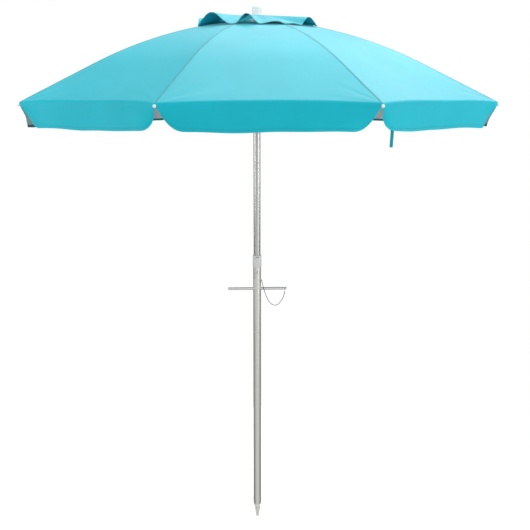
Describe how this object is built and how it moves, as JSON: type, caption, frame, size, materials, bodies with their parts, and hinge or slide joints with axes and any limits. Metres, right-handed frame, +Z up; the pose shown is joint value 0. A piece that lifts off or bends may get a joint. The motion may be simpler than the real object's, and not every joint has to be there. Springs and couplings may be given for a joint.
{
  "type": "beach umbrella",
  "caption": "Teal beach umbrella with a vented octagonal canopy, a two-piece grey pole, a turning bar on a chain and a screw-in sand spike.",
  "frame": {"origin": "the tip of the sand spike, on the pole's axis", "axes": "+Z up the pole; a flat side of the open canopy faces -Y and the turning bar lies along X"},
  "size_m": [1.7666, 1.7666, 2.114],
  "materials": {
    "pole": "satin light grey tube",
    "joint_casting": "satin grey casting",
    "steel": "bright zinc-plated steel",
    "rib_steel": "white enamel",
    "white_plastic": "white moulded plastic",
    "grey_plastic": "light grey moulded plastic",
    "clear_plastic": "milky translucent plastic",
    "canopy_fabric": "teal polyester outside, silver coating inside"
  },
  "bodies": {
    "lower_pole": {"lower_tube": "pole", "spike": "clear_plastic", "spike_rivets": "steel", "collar": "clear_plastic", "chain_eye": "steel", "chain": "steel"},
    "turning_bar": {"t_bar": "steel", "t_bar_plugs": "grey_plastic", "t_bar_ring": "steel"},
    "upper_pole": {"mid_tube": "pole", "tilt_yoke": "joint_casting", "tilt_pin": "steel"},
    "snap_button": {"snap_button": "steel"},
    "top_pole": {"top_tube": "pole", "tilt_tongue": "joint_casting", "crown": "grey_plastic", "crown_wire": "steel", "finial": "white_plastic", "vent_cap": "canopy_fabric"},
    "tilt_button": {"tilt_button": "grey_plastic"},
    "runner_catch": {"runner_catch": "steel"},
    "runner": {"runner": "grey_plastic"},
    "rib_0": {"rib_0": "rib_steel", "rib_fittings_0": "white_plastic", "gore_0": "canopy_fabric"},
    "stretcher_0": {"stretcher_0": "rib_steel"},
    "rib_1": {"rib_1": "rib_steel", "rib_fittings_1": "white_plastic", "gore_1": "canopy_fabric"},
    "stretcher_1": {"stretcher_1": "rib_steel"},
    "rib_2": {"rib_2": "rib_steel", "rib_fittings_2": "white_plastic", "gore_2": "canopy_fabric"},
    "stretcher_2": {"stretcher_2": "rib_steel"},
    "rib_3": {"rib_3": "rib_steel", "rib_fittings_3": "white_plastic", "gore_3": "canopy_fabric"},
    "stretcher_3": {"stretcher_3": "rib_steel"},
    "rib_4": {"rib_4": "rib_steel", "rib_fittings_4": "white_plastic", "gore_4": "canopy_fabric"},
    "stretcher_4": {"stretcher_4": "rib_steel"},
    "rib_5": {"rib_5": "rib_steel", "rib_fittings_5": "white_plastic", "gore_5": "canopy_fabric"},
    "stretcher_5": {"stretcher_5": "rib_steel"},
    "rib_6": {"rib_6": "rib_steel", "rib_fittings_6": "white_plastic", "gore_6": "canopy_fabric", "closing_strap": "canopy_fabric"},
    "stretcher_6": {"stretcher_6": "rib_steel"},
    "rib_7": {"rib_7": "rib_steel", "rib_fittings_7": "white_plastic", "gore_7": "canopy_fabric"},
    "stretcher_7": {"stretcher_7": "rib_steel"}
  },
  "joints": [
    {"name": "bar_slide", "type": "slide", "parent": "lower_pole", "child": "turning_bar", "axis": [1, 0, 0], "range_m": [-0.09, 0.1], "deforming": ["chain"]},
    {"name": "pole_pull_out", "type": "slide", "parent": "lower_pole", "child": "upper_pole", "axis": [0, 0, 1], "range_m": [0, 0.11], "deforming": ["snap_button"]},
    {"name": "snap_button_press", "type": "slide", "parent": "upper_pole", "child": "snap_button", "axis": [0, 1, 0], "range_m": [0, 0.004], "stiffness_N_per_m": 800},
    {"name": "canopy_tilt", "type": "hinge", "parent": "upper_pole", "child": "top_pole", "pos_m": [0, 0, 1.65], "axis": [-1, 0, 0], "range_deg": [-35, 0]},
    {"name": "tilt_button_press", "type": "slide", "parent": "upper_pole", "child": "tilt_button", "axis": [0, -1, 0], "range_m": [0, 0.003], "stiffness_N_per_m": 800},
    {"name": "catch_press", "type": "slide", "parent": "top_pole", "child": "runner_catch", "axis": [-1, 0, 0], "range_m": [0, 0.005], "stiffness_N_per_m": 600},
    {"name": "runner_slide", "type": "slide", "parent": "top_pole", "child": "runner", "axis": [0, 0, -1], "range_m": [0, 0.5722]},
    {"name": "canopy_fold", "type": "hinge", "parent": "top_pole", "child": "rib_0", "pos_m": [0.02032, 0.00842, 2.05033], "axis": [-0.3827, 0.9239, 0], "range_deg": [0, 65.3], "deforming": ["gore_0", "gore_1", "gore_2", "gore_3", "gore_4", "gore_5", "gore_6", "gore_7", "vent_cap", "closing_strap", "runner_catch"]},
    {"name": "stretcher_0_pivot", "type": "hinge", "parent": "rib_0", "child": "stretcher_0", "pos_m": [0.39314, 0.16284, 1.96425], "axis": [0.3827, -0.9239, 0], "range_deg": [0, 120.74]},
    {"name": "rib_1_fold", "type": "hinge", "parent": "top_pole", "child": "rib_1", "pos_m": [0.00842, 0.02032, 2.05033], "axis": [-0.9239, 0.3827, 0], "range_deg": [0, 65.6]},
    {"name": "stretcher_1_pivot", "type": "hinge", "parent": "rib_1", "child": "stretcher_1", "pos_m": [0.16284, 0.39314, 1.96425], "axis": [0.9239, -0.3827, 0], "range_deg": [0, 120.74]},
    {"name": "rib_2_fold", "type": "hinge", "parent": "top_pole", "child": "rib_2", "pos_m": [-0.00842, 0.02032, 2.05033], "axis": [-0.9239, -0.3827, 0], "range_deg": [0, 65.6]},
    {"name": "stretcher_2_pivot", "type": "hinge", "parent": "rib_2", "child": "stretcher_2", "pos_m": [-0.16284, 0.39314, 1.96425], "axis": [0.9239, 0.3827, 0], "range_deg": [0, 120.74]},
    {"name": "rib_3_fold", "type": "hinge", "parent": "top_pole", "child": "rib_3", "pos_m": [-0.02032, 0.00842, 2.05033], "axis": [-0.3827, -0.9239, 0], "range_deg": [0, 65.6]},
    {"name": "stretcher_3_pivot", "type": "hinge", "parent": "rib_3", "child": "stretcher_3", "pos_m": [-0.39314, 0.16284, 1.96425], "axis": [0.3827, 0.9239, 0], "range_deg": [0, 120.74]},
    {"name": "rib_4_fold", "type": "hinge", "parent": "top_pole", "child": "rib_4", "pos_m": [-0.02032, -0.00842, 2.05033], "axis": [0.3827, -0.9239, 0], "range_deg": [0, 65.6]},
    {"name": "stretcher_4_pivot", "type": "hinge", "parent": "rib_4", "child": "stretcher_4", "pos_m": [-0.39314, -0.16284, 1.96425], "axis": [-0.3827, 0.9239, 0], "range_deg": [0, 120.74]},
    {"name": "rib_5_fold", "type": "hinge", "parent": "top_pole", "child": "rib_5", "pos_m": [-0.00842, -0.02032, 2.05033], "axis": [0.9239, -0.3827, 0], "range_deg": [0, 65.6]},
    {"name": "stretcher_5_pivot", "type": "hinge", "parent": "rib_5", "child": "stretcher_5", "pos_m": [-0.16284, -0.39314, 1.96425], "axis": [-0.9239, 0.3827, 0], "range_deg": [0, 120.74]},
    {"name": "rib_6_fold", "type": "hinge", "parent": "top_pole", "child": "rib_6", "pos_m": [0.00842, -0.02032, 2.05033], "axis": [0.9239, 0.3827, 0], "range_deg": [0, 65.6]},
    {"name": "stretcher_6_pivot", "type": "hinge", "parent": "rib_6", "child": "stretcher_6", "pos_m": [0.16284, -0.39314, 1.96425], "axis": [-0.9239, -0.3827, 0], "range_deg": [0, 120.74]},
    {"name": "rib_7_fold", "type": "hinge", "parent": "top_pole", "child": "rib_7", "pos_m": [0.02032, -0.00842, 2.05033], "axis": [0.3827, 0.9239, 0], "range_deg": [0, 65.6]},
    {"name": "stretcher_7_pivot", "type": "hinge", "parent": "rib_7", "child": "stretcher_7", "pos_m": [0.39314, -0.16284, 1.96425], "axis": [-0.3827, -0.9239, 0], "range_deg": [0, 120.74]}
  ],
  "couplings": [
    {"joint": "stretcher_0_pivot", "follows": "canopy_fold", "ratio": 1.8414},
    {"joint": "rib_1_fold", "follows": "canopy_fold", "ratio": 1},
    {"joint": "stretcher_1_pivot", "follows": "canopy_fold", "ratio": 1.8414},
    {"joint": "rib_2_fold", "follows": "canopy_fold", "ratio": 1},
    {"joint": "stretcher_2_pivot", "follows": "canopy_fold", "ratio": 1.8414},
    {"joint": "rib_3_fold", "follows": "canopy_fold", "ratio": 1},
    {"joint": "stretcher_3_pivot", "follows": "canopy_fold", "ratio": 1.8414},
    {"joint": "rib_4_fold", "follows": "canopy_fold", "ratio": 1},
    {"joint": "stretcher_4_pivot", "follows": "canopy_fold", "ratio": 1.8414},
    {"joint": "rib_5_fold", "follows": "canopy_fold", "ratio": 1},
    {"joint": "stretcher_5_pivot", "follows": "canopy_fold", "ratio": 1.8414},
    {"joint": "rib_6_fold", "follows": "canopy_fold", "ratio": 1},
    {"joint": "stretcher_6_pivot", "follows": "canopy_fold", "ratio": 1.8414},
    {"joint": "rib_7_fold", "follows": "canopy_fold", "ratio": 1},
    {"joint": "stretcher_7_pivot", "follows": "canopy_fold", "ratio": 1.8414},
    {"joint": "runner_slide", "follows": "canopy_fold", "m_per_rad": 0.50032}
  ]
}
